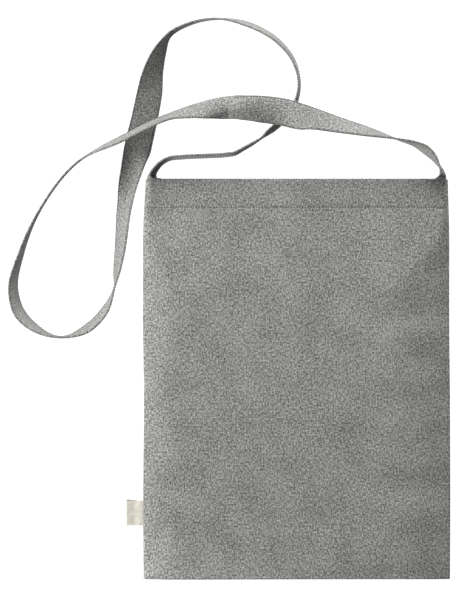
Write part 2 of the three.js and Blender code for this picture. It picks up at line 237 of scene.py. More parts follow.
# How far to either side of a place the strap's direction is read, and the bend that counts as none
TRAVEL_REACH = 0.5
NO_BEND = 1e-6

# The folded tag: squeezed in the seam, open past it, and down on the surface at its far end
LABEL_TAPE = 0.36
LABEL_FOLD = 0.55
LABEL_ENTRY = 1.5
LABEL_SQUEEZE = 0.4
LABEL_SEAM_PLAY = 0.05
LABEL_OPEN_AT = 4
LABEL_SEAM_REACH = 5
LABEL_SLIP = 1.1
LABEL_SLIP_FROM = 3
LABEL_LANDS = 0.6
LABEL_CLEARANCE = 0.03
LABEL_PROUD = 1.2
LABEL_END = -label_low.x + LABEL_PROUD
LABEL_MIDDLE = (label_low.y + label_high.y) / 2 - LABEL_PROUD / 2
LABEL_HALF = (label_high.y - label_low.y) / 2 + LABEL_PROUD

# Grid steps of the meshes
PANEL_CELL = 2.6
SEAM_STEPS = (0, 0.12, 0.35, 0.7, 1.1, 1.8, 3, 5)
HEM_STEPS = (0, 1.2, 3, 6)
FOLD_STEPS = 6
STRAP_CELL = 3.5
STRAP_CORNER_CELL = 0.8
STRAP_FACE_CELL = 3
STRAP_EDGE_STEPS = (0, 0.08, 0.2, 0.4, 0.75, 1.2, 1.7, 2.3, 3.2, 5)
STRAP_SAMPLES = 8
LABEL_CELL = 1.4
LABEL_ENTRY_STEPS = (0, 1.2)
LABEL_FOLD_STEPS = 8
LABEL_ROWS = 16
THREAD_SIDES = 6
THREAD_RINGS = 4

# Faces that turn by more than this get a sharp edge between them. Threads get none.
SHARP_DEGREES = 50
NEVER_SHARP = 180

# Grain of the cloth, in metres, as the flat places of the cloth are kept
YARN = 0.62 * MM
FLECK_WIDE = 1.3 * YARN
FLECK_LONG = 9 * YARN
BLEND_GRAIN = (2.6 * YARN, 3.3 * YARN)
CLOUD_GRAIN = (60 * YARN, 60 * YARN)
FIBRE_GRAIN = (0.5 * YARN, 0.5 * YARN)
NEP_SPACING = 22 * MM
NEP_LONGER = 1.6
NEP_REACH = 0.75 * MM
TAPE_RIB = 0.5 * MM
TAPE_GRAIN = (0.4 * MM, 3 * MM)
TAPE_CLOUD = (5 * MM, 5 * MM)
THREAD_TWIST = 0.5 * MM

# How much each kind of grain adds to the cloth's tone, and how much a dark knot takes away
FLECK_SHARE = 0.46
BLEND_SHARE = 0.42
CLOUD_SHARE = 0.12
NEP_DARK = 0.17
TAPE_SHARE = 0.5

# Colours, from dark to light along the tone
GREY_STOPS = (
    (0.3, (0.07, 0.07, 0.066)),
    (0.5, (0.245, 0.246, 0.238)),
    (0.7, (0.5, 0.5, 0.485)),
)
# The bag and the strap are one cloth. The strap's copy is painted darker than the bag's: painted
# shade, standing in for light that the strap gets too much of from the shadowless left fill.
BAG_SHADE = 1.06
STRAP_PAINTED_SHADE = 0.95
TAPE_FACE_STOPS = ((0.3, (0.55, 0.52, 0.43)), (0.7, (0.74, 0.72, 0.645)))
TAPE_REVERSE_STOPS = ((0.3, (0.1, 0.09, 0.05)), (0.7, (0.26, 0.23, 0.15)))
# The sewing thread is painted near black, darker than the grey thread it is: painted shade of the
# stitch holes and grooves, on the hems and along the strap's edges.
THREAD_PAINTED_SHADE_COLOUR = (0.025, 0.025, 0.023)
TWIST_SHADE = 0.5
FLOOR_STOPS = ((0, (0.24, 0.24, 0.24)), (1, (0.27, 0.27, 0.27)))
WHITE = (1, 1, 1, 1)

# Floor and light, with sizes in metres and power in watts. way is in degrees from +Y to +X, and
# height is in degrees up from the surface.
FLOOR_HALF = 3
FLOOR_GLOW = 0.92
FLOOR_CLOUDS = 3
SOFTBOX_DISTANCE = 2.2
Softbox = namedtuple("Softbox", "name way height size power shadows")
SOFTBOXES = (
    Softbox("upper softbox", 0, 20, 1.3, 66, True),
    Softbox("upper right softbox", 45, 20, 1.2, 20, True),
    Softbox("left fill", -104, 16, 1.2, 74, False),
)
DOME_STRENGTH = 0.02
BOUNCE_STRENGTH = 0.15

# The camera looks straight down. The photograph's middle lies over this point of the surface.
PHOTO_PIXEL = 1.0493
PHOTO_SIZE = (466, 600)
PHOTO_MIDDLE = (-66.9, 82.9)
CAMERA_HEIGHT = 6000
PHOTO_LEVEL = 4
SENSOR = 24


# Camera

def add_camera():
    camera = bpy.data.cameras.new("camera")
    camera.sensor_fit = "VERTICAL"
    camera.sensor_height = SENSOR
    camera.lens = SENSOR * (CAMERA_HEIGHT - PHOTO_LEVEL) / (PHOTO_SIZE[1] * PHOTO_PIXEL)
    holder = bpy.data.objects.new("camera", camera)
    holder.location = Vector((*PHOTO_MIDDLE, CAMERA_HEIGHT)) * MM
    scene.collection.objects.link(holder)
    scene.camera = holder


add_camera()


# Curves through tables, and small shape functions

def clamp(value, low, high):
    return min(max(value, low), high)


def lerp(start, end, share):
    return start + (end - start) * share


def smooth_step(value, low, high):
    share = clamp((value - low) / (high - low), 0, 1)
    return share * share * (3 - 2 * share)


def column_slopes(runs, values, held):
    """Slope at every row. A held column never swings past its own rows."""
    last = len(runs) - 2
    secants = [(values[i + 1] - values[i]) / (runs[i + 1] - runs[i]) for i in range(last + 1)]
    slopes = []
    for i, run in enumerate(runs):
        before = secants[max(i - 1, 0)]
        after = secants[min(i, last)]
        if held:
            slopes.append(2 * before * after / (before + after) if before * after > 0 else 0)
            continue
        step_in = run - runs[max(i - 1, 0)]
        step_out = runs[min(i + 1, last + 1)] - run
        slopes.append((before * step_out + after * step_in) / (step_in + step_out))
    return slopes


def column_curve(runs, values, held):
    """A smooth curve through one column of a table, as a function of the run."""
    slopes = column_slopes(runs, values, held)

    def value_at(run):
        i = 0
        while i < len(runs) - 2 and runs[i + 1] <= run:
            i += 1
        step = runs[i + 1] - runs[i]
        t = clamp((run - runs[i]) / step, 0, 1)
        ends = values[i] * (1 + 2 * t) * (1 - t) ** 2 + values[i + 1] * t * t * (3 - 2 * t)
        leave = slopes[i] * step * t * (1 - t) ** 2
        arrive = slopes[i + 1] * step * t * t * (t - 1)
        return ends + leave + arrive

    return value_at


def spread_steps(start, end, first_steps, last_steps, cell):
    """Steps from one edge inward, even cells between, and steps out to the other edge."""
    first = [start + step for step in first_steps]
    last = [end - step for step in reversed(last_steps)]
    count = max(round((last[0] - first[-1]) / cell), 1)
    between = [lerp(first[-1], last[0], i / count) for i in range(1, count)]
    return first + between + last


# Heights of the two panels

side_runs = [row.run for row in SIDE_ROWS]
left_half = column_curve(side_runs, [row.left for row in SIDE_ROWS], True)
right_half = column_curve(side_runs, [row.right for row in SIDE_ROWS], True)


def mouth_share(y):
    return smooth_step(y, SEAM_CLIMB_FROM, SEAM_CLIMB_TO)


def side_distance(x, y):
    return max(min(x + left_half(y), right_half(y) - x), 0)


def shoulder_rise(distance, shoulder):
    """0 at a seam, 1 from the end of the shoulder on."""
    return 1 - (1 - clamp(distance / shoulder, 0, 1)) ** 2


def front_side_rise(x, y):
    """The front comes down to the side seams, at once beside the strap's ends."""
    share = mouth_share(y)
    left = shoulder_rise(x + left_half(y), lerp(LEFT_SHOULDER, CORNER_SHOULDER, share))
    right = shoulder_rise(right_half(y) - x, lerp(RIGHT_SHOULDER, CORNER_SHOULDER, share))
    return left * right


def fold_rise(rows, x, y):
    rise = 0
    for fold in rows:
        turn = math.radians(fold.turn)
        along = (x - fold.x) * math.cos(turn) + (y - fold.y) * math.sin(turn)
        across = (y - fold.y) * math.cos(turn) - (x - fold.x) * math.sin(turn)
        rise += fold.rise * math.exp(-((along / fold.long) ** 2) - (across / fold.wide) ** 2)
    return rise


def seam_height(x, y):
    """The seam line: low along the sides, lifted along the bottom and held up at the mouth."""
    lift = BOTTOM_SEAM_LIFT * (1 - shoulder_rise(y - BOTTOM, BOTTOM_LIFT_REACH))
    lift += fold_rise(SEAM_FOLD_ROWS, x, y)
    return lerp(LOW_SEAM, HIGH_SEAM, mouth_share(y)) + lift * front_side_rise(x, y)


def pucker_rise(rise, distance, run, spacing):
    swell = distance / PUCKER_REACH * math.exp(1 - distance / PUCKER_REACH)
    return rise * swell * math.cos(2 * math.pi * run / spacing)


def wave_rise(x, y):
    return sum(rise * noise.noise(Vector((x, y, length)) / length) for length, rise in WAVES)


def stitch_groove(y):
    """The groove that the hem's stitches pull into the cloth."""
    return STITCH_GROOVE * math.exp(-(((y - HEM_LINE) / STITCH_GROOVE_WIDTH) ** 2))


def hem_rise(y):
    """The doubled hem stands a little proud."""
    return HEM_RISE * smooth_step(y, HEM_LINE - HEM_ALLOWANCE, HEM_LINE)


def crown_height(y):
    """The bag is fullest towards the mouth, which gapes a little."""
    return lerp(BOTTOM_CROWN, MOUTH_CROWN, smooth_step(y, CROWN_CLIMB_FROM, CROWN_CLIMB_TO))


def front_height(x, y):
    side = side_distance(x, y)
    bottom = y - BOTTOM
    share = mouth_share(y)
    corner_share = share * math.exp(-((side / CORNER_REACH) ** 2))
    side_puckers = pucker_rise(SIDE_PUCKER, side, y, SIDE_PUCKER_SPACING) * (1 - share)
    bottom_puckers = pucker_rise(BOTTOM_PUCKER, bottom, x, BOTTOM_PUCKER_SPACING)
    crown = lerp(crown_height(y), CORNER_CROWN, corner_share) + side_puckers + bottom_puckers
    crown += fold_rise(FOLD_ROWS + SEAM_FOLD_ROWS, x, y) + wave_rise(x, y) + hem_rise(y)
    rise = front_side_rise(x, y) * shoulder_rise(bottom, BOTTOM_SHOULDER)
    return lerp(seam_height(x, y) + EDGE_LIFT, crown, rise) - stitch_groove(y)


def back_height(x, y):
    """On the surface, turned up to the seams at its edges."""
    shoulder = lerp(BACK_SHOULDER, CORNER_SHOULDER, mouth_share(y))
    rise = shoulder_rise(side_distance(x, y), shoulder)
    rise *= shoulder_rise(y - BOTTOM, BACK_BOTTOM_SHOULDER)
    return (seam_height(x, y) - EDGE_LIFT) * (1 - rise) + stitch_groove(y)


def rounded_corner(x, y):
    """Moves a point near a bottom corner in, so that the corner's outline is a quarter circle."""
    inward_x = clamp(1 - side_distance(x, y) / CORNER_ROUND, 0, 1)
    inward_y = clamp(1 - (y - BOTTOM) / CORNER_ROUND, 0, 1)
    if inward_x * inward_y == 0:
        return x, y
    share = 1 - max(inward_x, inward_y) / math.hypot(inward_x, inward_y)
    towards = -1 if x > 0 else 1
    return x + towards * CORNER_ROUND * inward_x * share, y + CORNER_ROUND * inward_y * share


def label_opening(x, y):
    """The left seam stands open by the thickness of the tag that is sewn into it."""
    if x > 0:
        return 0
    distance = abs(y - LABEL_MIDDLE)
    return LABEL_SQUEEZE * (1 - smooth_step(distance, LABEL_HALF, LABEL_HALF + LABEL_SEAM_REACH))


def seam_roll(x, y):
    """How far a panel's edge curls down to the seam line."""
    distance = min(side_distance(x, y), y - BOTTOM)
    beyond = clamp(1 - distance / SEAM_ROLL, 0, 1)
    full = EDGE_LIFT - SEAM_HALF_GAP - label_opening(x, y)
    return full * (1 - math.sqrt(1 - beyond ** 2))


# Meshes

def mesh_piece(name, points, faces, corner_places, material):
    """A mesh object in metres. corner_places gives each face's corners on the flat cloth."""
    mesh = bpy.data.meshes.new(name)
    mesh.from_pydata([tuple(Vector(point) * MM) for point in points], [], faces)
    flat = mesh.uv_layers.new(name="flat cloth")
    places = [place for corners in corner_places for place in corners]
    for corner, place in zip(flat.data, places):
        corner.uv = Vector(place) * MM
    mesh.materials.append(material)
    piece = bpy.data.objects.new(name, mesh)
    scene.collection.objects.link(piece)
    return piece


def settle(piece, sharp_degrees=SHARP_DEGREES):
    """Turns the piece's modifiers into plain mesh and smooths its shading."""
    shaped = piece.evaluated_get(bpy.context.evaluated_depsgraph_get())
    mesh = bpy.data.meshes.new_from_object(shaped)
    piece.modifiers.clear()
    piece.data = mesh
    mesh.polygons.foreach_set("use_smooth", [True] * len(mesh.polygons))
    mesh.set_sharp_from_angle(angle=math.radians(sharp_degrees))
    mesh.name = piece.name


def thicken(piece, thickness, inner_material=0):
    """Gives a sheet its thickness, inward from its outer face."""
    solid = piece.modifiers.new("cloth thickness", "SOLIDIFY")
    solid.thickness = thickness * MM
    solid.offset = -1
    solid.material_offset = inner_material


def grid_sheet(name, columns, rows, point_at, flat_at, facing, material):
    """A sheet on a grid. facing is +1 where its outer face looks up and -1 where it looks down."""
    points = [point_at(column, row) for row in rows for column in columns]
    faces = []
    corner_places = []
    wide = len(columns)
    for r in range(len(rows) - 1):
        for c in range(wide - 1):
            corners = [(c, r), (c + 1, r), (c + 1, r + 1), (c, r + 1)][::facing]
            faces.append([j * wide + i for i, j in corners])
            corner_places.append([flat_at(columns[i], rows[j]) for i, j in corners])
    return mesh_piece(name, points, faces, corner_places, material)


# The panels, each one sheet from the bottom seam up, over the mouth and down into the hem

HemRow = namedtuple("HemRow", "y depth inset run")


def panel_rows():
    top = MOUTH - HEM_FOLD
    below = spread_steps(BOTTOM, HEM_LINE, SEAM_STEPS, HEM_STEPS, PANEL_CELL)
    above = spread_steps(HEM_LINE, top, HEM_STEPS, HEM_STEPS[:2], PANEL_CELL)[1:]
    rows = [HemRow(y, 0, 0, y) for y in below + above]
    for step in range(1, FOLD_STEPS + 1):
        angle = math.pi * step / FOLD_STEPS
        y = top + HEM_FOLD * math.sin(angle)
        depth = HEM_FOLD * (1 - math.cos(angle))
        rows.append(HemRow(y, depth, HEM_INSET * step / FOLD_STEPS, top + HEM_FOLD * angle))
    turned = HEM_DEPTH + HEM_ALLOWANCE - HEM_FOLD
    steps = math.ceil(turned / PANEL_CELL)
    for step in range(1, steps + 1):
        down = turned * step / steps
        rows.append(HemRow(top - down, 2 * HEM_FOLD, HEM_INSET, rows[-1].run + turned / steps))
    return rows


def panel(name, height, facing, cell, material):
    columns = spread_steps(-HALF_WIDTH, HALF_WIDTH, SEAM_STEPS, SEAM_STEPS, cell)

    def point_at(column, row):
        half = left_half(row.y) if column < 0 else right_half(row.y)
        x, y = rounded_corner(column / HALF_WIDTH * (half - row.inset), row.y)
        return x, y, height(x, y) - facing * (seam_roll(x, y) + row.depth)

    def flat_at(column, row):
        return column, row.run

    piece = grid_sheet(name, columns, panel_rows(), point_at, flat_at, facing, material)
    thicken(piece, CLOTH)
    settle(piece)
    return piece


# The strap

def strap_curves():
    runs = [0]
    for before, row in zip(STRAP_ROWS, STRAP_ROWS[1:]):
        runs.append(runs[-1] + math.hypot(row.x - before.x, row.y - before.y))
    curves = {}
    for column in StrapRow._fields:
        values = [getattr(row, column) for row in STRAP_ROWS]
        curves[column] = column_curve(runs, values, column not in ("x", "y"))
    return runs, curves


strap_runs, strap_curve = strap_curves()


def section_point(across, offset, fold, crease):
    """A point of the strap's section before rolling: across the width and off the middle face."""
    bend = fold / crease
    in_crease = clamp(across, -crease / 2, crease / 2)
    past = across - in_crease
    angle = bend * in_crease
    flat = abs(bend) < NO_BEND
    wide = (in_crease if flat else math.sin(angle) / bend) + past * math.cos(angle)
    deep = (0 if flat else (math.cos(angle) - 1) / bend) - past * math.sin(angle)
    return wide + offset * math.sin(angle), deep + offset * math.cos(angle)


def strap_half_thickness(across):
    """Half the strap's thickness: rounded at its edges, with a groove under each row of stitches."""
    inset = STRAP_WIDTH / 2 - abs(across)
    edge = clamp(1 - inset / STRAP_EDGE_ROUND, 0, 1)
    off_stitches = (inset - STRAP_STITCH_INSET) / STRAP_GROOVE_WIDTH
    groove = STRAP_GROOVE * math.exp(-(off_stitches ** 2))
    return STRAP_THICKNESS / 2 - STRAP_EDGE_ROUND * (1 - math.sqrt(1 - edge ** 2)) - groove


def strap_section(run):
    """A function that places a point of the strap, given across and off its middle face."""
    travel = Vector((
        strap_curve["x"](run + TRAVEL_REACH) - strap_curve["x"](run - TRAVEL_REACH),
        strap_curve["y"](run + TRAVEL_REACH) - strap_curve["y"](run - TRAVEL_REACH),
    )).normalized()
    roll = math.radians(strap_curve["roll"](run))
    fold = math.radians(strap_curve["fold"](run))
    crease = strap_curve["crease"](run)
    middle = Vector((strap_curve["x"](run), strap_curve["y"](run)))

    def rolled(across, offset):
        wide, deep = section_point(across, offset, fold, crease)
        left = wide * math.cos(roll) - deep * math.sin(roll)
        up = wide * math.sin(roll) + deep * math.cos(roll)
        return left, up

    shares = [step / STRAP_SAMPLES for step in range(STRAP_SAMPLES + 1)]
    samples = [lerp(-STRAP_WIDTH / 2, STRAP_WIDTH / 2, share) for share in shares]
    half = STRAP_THICKNESS / 2 + THREAD_PROUD
    lowest = min(rolled(across, offset)[1] for across in samples for offset in (-half, half))
    height = strap_curve["lift"](run) - lowest

    def place(across, offset):
        left, up = rolled(across, offset)
        return Vector((middle.x - travel.y * left, middle.y + travel.x * left, height + up))

    return place


def strap_stations():
    stations = []
    for i, (before, row) in enumerate(zip(STRAP_ROWS, STRAP_ROWS[1:])):
        cell = STRAP_CELL if row.fold == before.fold else STRAP_CORNER_CELL
        steps = math.ceil((strap_runs[i + 1] - strap_runs[i]) / cell)
        stations += [lerp(strap_runs[i], strap_runs[i + 1], step / steps) for step in range(steps)]
    return stations + [strap_runs[-1]]


def strap_outline():
    """The section's outline as (across, side) pairs, round both faces and both edges."""
    half = STRAP_WIDTH / 2
    steps = spread_steps(-half, half, STRAP_EDGE_STEPS, STRAP_EDGE_STEPS, STRAP_FACE_CELL)
    edge = [(-half, 0)]
    return edge + [(a, 1) for a in steps] + [(half, 0)] + [(a, -1) for a in reversed(steps)]


def strap(name, material):
    outline = strap_outline()
    stations = strap_stations()
    points = []
    for run in stations:
        place = strap_section(run)
        points += [place(across, side * strap_half_thickness(across)) for across, side in outline]
    around = len(outline)
    perimeter = [0]
    for (before, _), (across, _) in zip(outline, outline[1:] + outline[:1]):
        perimeter.append(perimeter[-1] + abs(across - before))
    faces = []
    corner_places = []
    for r in range(len(stations) - 1):
        for c in range(around):
            corners = [(c, r + 1), (c + 1, r + 1), (c + 1, r), (c, r)]
            faces.append([j * around + i % around for i, j in corners])
            corner_places.append([(perimeter[i], stations[j]) for i, j in corners])
    for r, turn in ((0, -1), (len(stations) - 1, 1)):
        faces.append([r * around + i for i in range(around)][::turn])
        corner_places.append([(perimeter[i], stations[r]) for i in range(around)][::turn])
    piece = mesh_piece(name, points, faces, corner_places, material)
    settle(piece)
    return piece


# The folded tag

def side_tag(name, face_material, reverse_material):
    edge = max(left_half(label_low.y), left_half(label_high.y))
    reach = LABEL_END - edge - LABEL_FOLD
    out_steps = spread_steps(-LABEL_ENTRY, reach, LABEL_ENTRY_STEPS, (0,), LABEL_CELL)
    turns = [math.pi * step / LABEL_FOLD_STEPS for step in range(1, LABEL_FOLD_STEPS)]
    path = [(out, 1) for out in out_steps]
    path += [(reach, math.cos(turn)) for turn in turns]
    path += [(out, -1) for out in reversed(out_steps)]
    runs = [0]
    for before, after in zip(path, path[1:]):
        runs.append(runs[-1] + math.hypot(after[0] - before[0], LABEL_FOLD * (after[1] - before[1])))
    columns = list(range(len(path)))
    rows = [lerp(-LABEL_HALF, LABEL_HALF, step / LABEL_ROWS) for step in range(LABEL_ROWS + 1)]

    def point_at(column, row):
        out, side = path[column]
        bulge = LABEL_FOLD * math.sqrt(1 - side ** 2)
        landed = smooth_step(out, 0, LABEL_LANDS * reach)
        middle = lerp(LOW_SEAM, LABEL_FOLD + LABEL_CLEARANCE, landed)
        opened = smooth_step(out, 0, LABEL_OPEN_AT)
        squeeze = lerp(LABEL_SQUEEZE - LABEL_SEAM_PLAY, LABEL_FOLD, opened)
        slip = LABEL_SLIP * (1 - side) / 2 * smooth_step(out, LABEL_SLIP_FROM, reach)
        return -edge - out - bulge, LABEL_MIDDLE + row + slip, middle + squeeze * side

    def flat_at(column, row):
        return row, runs[column]

    piece = grid_sheet(name, columns, rows, point_at, flat_at, -1, face_material)
    piece.data.materials.append(reverse_material)
    thicken(piece, LABEL_TAPE, 1)
    settle(piece)
    return piece, runs[-1]


# Stitches: points along the sewn rows, each with its run and the way out of the cloth

Stitch = namedtuple("Stitch", "place run out")


def hem_stitches(height, facing):
    end = HALF_WIDTH - HEM_STITCH_MARGIN
    count = round(2 * end / STITCH_PITCH)
    stitches = []
    for i in range(count):
        x = lerp(-end, end, (i + 0.5) / count)
        here = Vector((x, HEM_LINE, height(x, HEM_LINE)))
        step = Vector((1, 0, height(x + 1, HEM_LINE) - here.z))
        stitches.append(Stitch(here, step, Vector((0, 0, facing))))
    return stitches


def strap_stitches():
    stitches = []
    across = STRAP_WIDTH / 2 - STRAP_STITCH_INSET
    half = strap_half_thickness(across)
    count = round((strap_runs[-1] - 2 * STRAP_TUCK) / STITCH_PITCH)
    for i in range(count):
        run = lerp(STRAP_TUCK, strap_runs[-1] - STRAP_TUCK, (i + 0.5) / count)
        here = strap_section(run)
        ahead = strap_section(run + TRAVEL_REACH)
        for row in (-across, across):
            step = ahead(row, 0) - here(row, 0)
            for side in (-half, half):
                stitches.append(Stitch(here(row, side), step, here(row, side) - here(row, 0)))
    return stitches


def tree_socket(tree, name, way, kind):
    return tree.interface.new_socket(name, in_out=way, socket_type=kind).identifier


def add_node(tree, kind, settings=(), **inputs):
    """Adds a node, sets its own settings, and sets or links its inputs by name, or _ and number."""
    node = tree.nodes.new(kind)
    for setting, value in dict(settings).items():
        setattr(node, setting, value)
    for name, value in inputs.items():
        key = int(name[1:]) if name[0] == "_" else name.replace("_", " ")
        socket = node.inputs[key]
        if isinstance(value, bpy.types.NodeSocket):
            tree.links.new(value, socket)
        else:
            socket.default_value = value
    return node


def stitch_tree():
    """Geometry nodes that lay one thread on every point, along its run and out of the cloth."""
    tree = bpy.data.node_groups.new("sewn stitches", "GeometryNodeTree")
    tree_socket(tree, "Points", "INPUT", "NodeSocketGeometry")
    sockets = {
        "length": tree_socket(tree, "Stitch length", "INPUT", "NodeSocketFloat"),
        "width": tree_socket(tree, "Thread width", "INPUT", "NodeSocketFloat"),
        "material": tree_socket(tree, "Thread", "INPUT", "NodeSocketMaterial"),
    }
    tree_socket(tree, "Stitches", "OUTPUT", "NodeSocketGeometry")
    given = tree.nodes.new("NodeGroupInput")
    vector = {"data_type": "FLOAT_VECTOR"}
    run = add_node(tree, "GeometryNodeInputNamedAttribute", vector, Name="run")
    out = add_node(tree, "GeometryNodeInputNamedAttribute", vector, Name="out")
    along = add_node(tree, "FunctionNodeAlignRotationToVector", {"axis": "X"}, Vector=run.outputs[0])
    upright = add_node(
        tree, "FunctionNodeAlignRotationToVector", {"axis": "Z", "pivot_axis": "X"},
        Rotation=along.outputs[0], Vector=out.outputs[0],
    )
    uneven = add_node(
        tree, "FunctionNodeRandomValue", {"data_type": "FLOAT"},
        _2=SHORTEST_STITCH, _3=LONGEST_STITCH, Seed=STITCH_SEED,
    )
    length = add_node(
        tree, "ShaderNodeMath", {"operation": "MULTIPLY"},
        _0=given.outputs["Stitch length"], _1=uneven.outputs[1],
    )
    size = add_node(
        tree, "ShaderNodeCombineXYZ",
        X=length.outputs[0], Y=given.outputs["Thread width"], Z=given.outputs["Thread width"],
    )
    thread = add_node(
        tree, "GeometryNodeMeshUVSphere", Segments=THREAD_SIDES, Rings=THREAD_RINGS, Radius=0.5,
    )
    sewn = add_node(
        tree, "GeometryNodeInstanceOnPoints", Points=given.outputs["Points"],
        Instance=thread.outputs["Mesh"], Rotation=upright.outputs[0], Scale=size.outputs[0],
    )
    real = add_node(tree, "GeometryNodeRealizeInstances", Geometry=sewn.outputs[0])
    dressed = add_node(
        tree, "GeometryNodeSetMaterial", Geometry=real.outputs[0], Material=given.outputs["Thread"],
    )
    add_node(tree, "NodeGroupOutput", Stitches=dressed.outputs[0])
    return tree, sockets


def sewn_row(name, stitches, length, material):
    mesh = bpy.data.meshes.new(name)
    mesh.from_pydata([tuple(stitch.place * MM) for stitch in stitches], [], [])
    for column in ("run", "out"):
        values = [part for stitch in stitches for part in getattr(stitch, column).normalized()]
        mesh.attributes.new(column, "FLOAT_VECTOR", "POINT").data.foreach_set("vector", values)
    piece = bpy.data.objects.new(name, mesh)
    scene.collection.objects.link(piece)
    sewing = piece.modifiers.new("sewing", "NODES")
    sewing.node_group = STITCH_TREE
    sewing[STITCH_SOCKETS["length"]] = length * MM
    sewing[STITCH_SOCKETS["width"]] = THREAD_WIDTH * MM
    sewing[STITCH_SOCKETS["material"]] = material
    settle(piece, NEVER_SHARP)
    return piece


# Materials

def new_material(name):
    material = bpy.data.materials.new(name)
    material.use_nodes = True
    tree = material.node_tree
    tree.nodes.clear()
    shader = tree.nodes.new("ShaderNodeBsdfPrincipled")
    output = tree.nodes.new("ShaderNodeOutputMaterial")
    tree.links.new(shader.outputs[0], output.inputs["Surface"])
    return material, tree, shader


def set_inputs(node, values):
    for name, value in values.items():
        node.inputs[name].default_value = value


def math_node(tree, operation, first, second=0.0):
    return add_node(tree, "ShaderNodeMath", {"operation": operation}, _0=first, _1=second).outputs[0]


def weighted_sum(tree, terms):
    """Adds up values, each times its weight."""
    total = 0.0
    for value, weight in terms:
        total = math_node(tree, "ADD", total, math_node(tree, "MULTIPLY", value, weight))
    return total


def wave(tree, place, length):
    """A sine along one direction of the flat cloth, with this length from crest to crest."""
    return math_node(tree, "SINE", math_node(tree, "MULTIPLY", place, 2 * math.pi / length))


def yarn_noise(tree, place, stretch, detail):
    """Noise on the flat cloth. stretch gives its grain along the two yarn directions."""
    scaled = add_node(
        tree, "ShaderNodeVectorMath", {"operation": "MULTIPLY"},
        _0=place, _1=(1 / stretch[0], 1 / stretch[1], 1),
    )
    return add_node(
        tree, "ShaderNodeTexNoise", {"noise_dimensions": "2D"},
        Vector=scaled.outputs[0], Scale=1, Detail=detail, Roughness=0.6,
    ).outputs["Fac"]


def colour_ramp(tree, factor, stops):
    ramp = add_node(tree, "ShaderNodeValToRGB", Fac=factor)
    elements = ramp.color_ramp.elements
    while len(elements) < len(stops):
        elements.new(0.5)
    for element, (place, colour) in zip(elements, stops):
        element.position = place
        element.color = (*colour, 1)
    return ramp.outputs["Color"]


def shaded(stops, shade):
    return [(place, tuple(shade * part for part in colour)) for place, colour in stops]


def dark_neps(tree, place):
    """1 on the scattered dark knots of fibre in the yarn, longer along the warp."""
    scaled = add_node(
        tree, "ShaderNodeVectorMath", {"operation": "MULTIPLY"},
        _0=place, _1=(1 / NEP_SPACING, 1 / (NEP_LONGER * NEP_SPACING), 1),
    )
    knots = add_node(
        tree, "ShaderNodeTexVoronoi", {"voronoi_dimensions": "2D"}, Vector=scaled.outputs[0], Scale=1,
    )
    chance = add_node(tree, "ShaderNodeSeparateColor", Color=knots.outputs["Color"]).outputs["Red"]
    reach = math_node(tree, "MULTIPLY", chance, NEP_REACH / NEP_SPACING)
    return math_node(tree, "LESS_THAN", knots.outputs["Distance"], reach)


def melange_cloth(name, stops):
    """Plain weave of blended light and dark recycled fibres."""
    material, tree, shader = new_material(name)
    place = add_node(tree, "ShaderNodeUVMap", {"uv_map": "flat cloth"}).outputs[0]
    split = add_node(tree, "ShaderNodeSeparateXYZ", Vector=place)
    warp = wave(tree, split.outputs["X"], 2 * YARN)
    weft = wave(tree, split.outputs["Y"], 2 * YARN)
    crossing = math_node(tree, "MULTIPLY", warp, weft)
    warp_on_top = math_node(tree, "GREATER_THAN", crossing, 0.0)
    warp_fleck = yarn_noise(tree, place, (FLECK_WIDE, FLECK_LONG), 1)
    weft_fleck = yarn_noise(tree, place, (FLECK_LONG, FLECK_WIDE), 1)
    fleck = add_node(tree, "ShaderNodeMix", _0=warp_on_top, _2=weft_fleck, _3=warp_fleck).outputs[0]
    blend = yarn_noise(tree, place, BLEND_GRAIN, 0)
    cloud = yarn_noise(tree, place, CLOUD_GRAIN, 2)
    tone = weighted_sum(tree, (
        (fleck, FLECK_SHARE),
        (blend, BLEND_SHARE),
        (cloud, CLOUD_SHARE),
        (dark_neps(tree, place), -NEP_DARK),
    ))
    tree.links.new(colour_ramp(tree, tone, stops), shader.inputs["Base Color"])
    fibres = yarn_noise(tree, place, FIBRE_GRAIN, 1)
    height = math_node(tree, "ADD", math_node(tree, "ABSOLUTE", crossing), fibres)
    bump = add_node(tree, "ShaderNodeBump", Strength=0.5, Distance=0.12 * MM, Height=height)
    tree.links.new(bump.outputs[0], shader.inputs["Normal"])
    set_inputs(shader, {
        "Roughness": 0.92,
        "Specular IOR Level": 0.2,
        "Sheen Weight": 0.12,
        "Sheen Roughness": 0.5,
    })
    return material


def woven_tape(name, stops):
    """Close satin tape with fine ribs across its length."""
    material, tree, shader = new_material(name)
    place = add_node(tree, "ShaderNodeUVMap", {"uv_map": "flat cloth"}).outputs[0]
    split = add_node(tree, "ShaderNodeSeparateXYZ", Vector=place)
    ribs = wave(tree, split.outputs["Y"], TAPE_RIB)
    grain = yarn_noise(tree, place, TAPE_GRAIN, 2)
    cloud = yarn_noise(tree, place, TAPE_CLOUD, 2)
    tone = weighted_sum(tree, ((grain, TAPE_SHARE), (cloud, TAPE_SHARE)))
    tree.links.new(colour_ramp(tree, tone, stops), shader.inputs["Base Color"])
    bump = add_node(tree, "ShaderNodeBump", Strength=0.4, Distance=0.08 * MM, Height=ribs)
    tree.links.new(bump.outputs[0], shader.inputs["Normal"])
    set_inputs(shader, {"Roughness": 0.7, "Sheen Weight": 0.15})
    return material


def sewing_thread(name, colour):
    """Spun cotton thread, a little darker in its twist. Its colour is painted near black: painted
    shade of the holes and grooves that the stitches sink into.
    """
    material, tree, shader = new_material(name)
    place = add_node(tree, "ShaderNodeTexCoord").outputs["Object"]
    twist = add_node(tree, "ShaderNodeTexNoise", Vector=place, Scale=1 / THREAD_TWIST, Detail=1)
    dark = tuple(TWIST_SHADE * part for part in colour)
    tone = colour_ramp(tree, twist.outputs["Fac"], ((0.3, dark), (0.7, colour)))
    tree.links.new(tone, shader.inputs["Base Color"])
    set_inputs(shader, {"Roughness": 0.85})
    return material


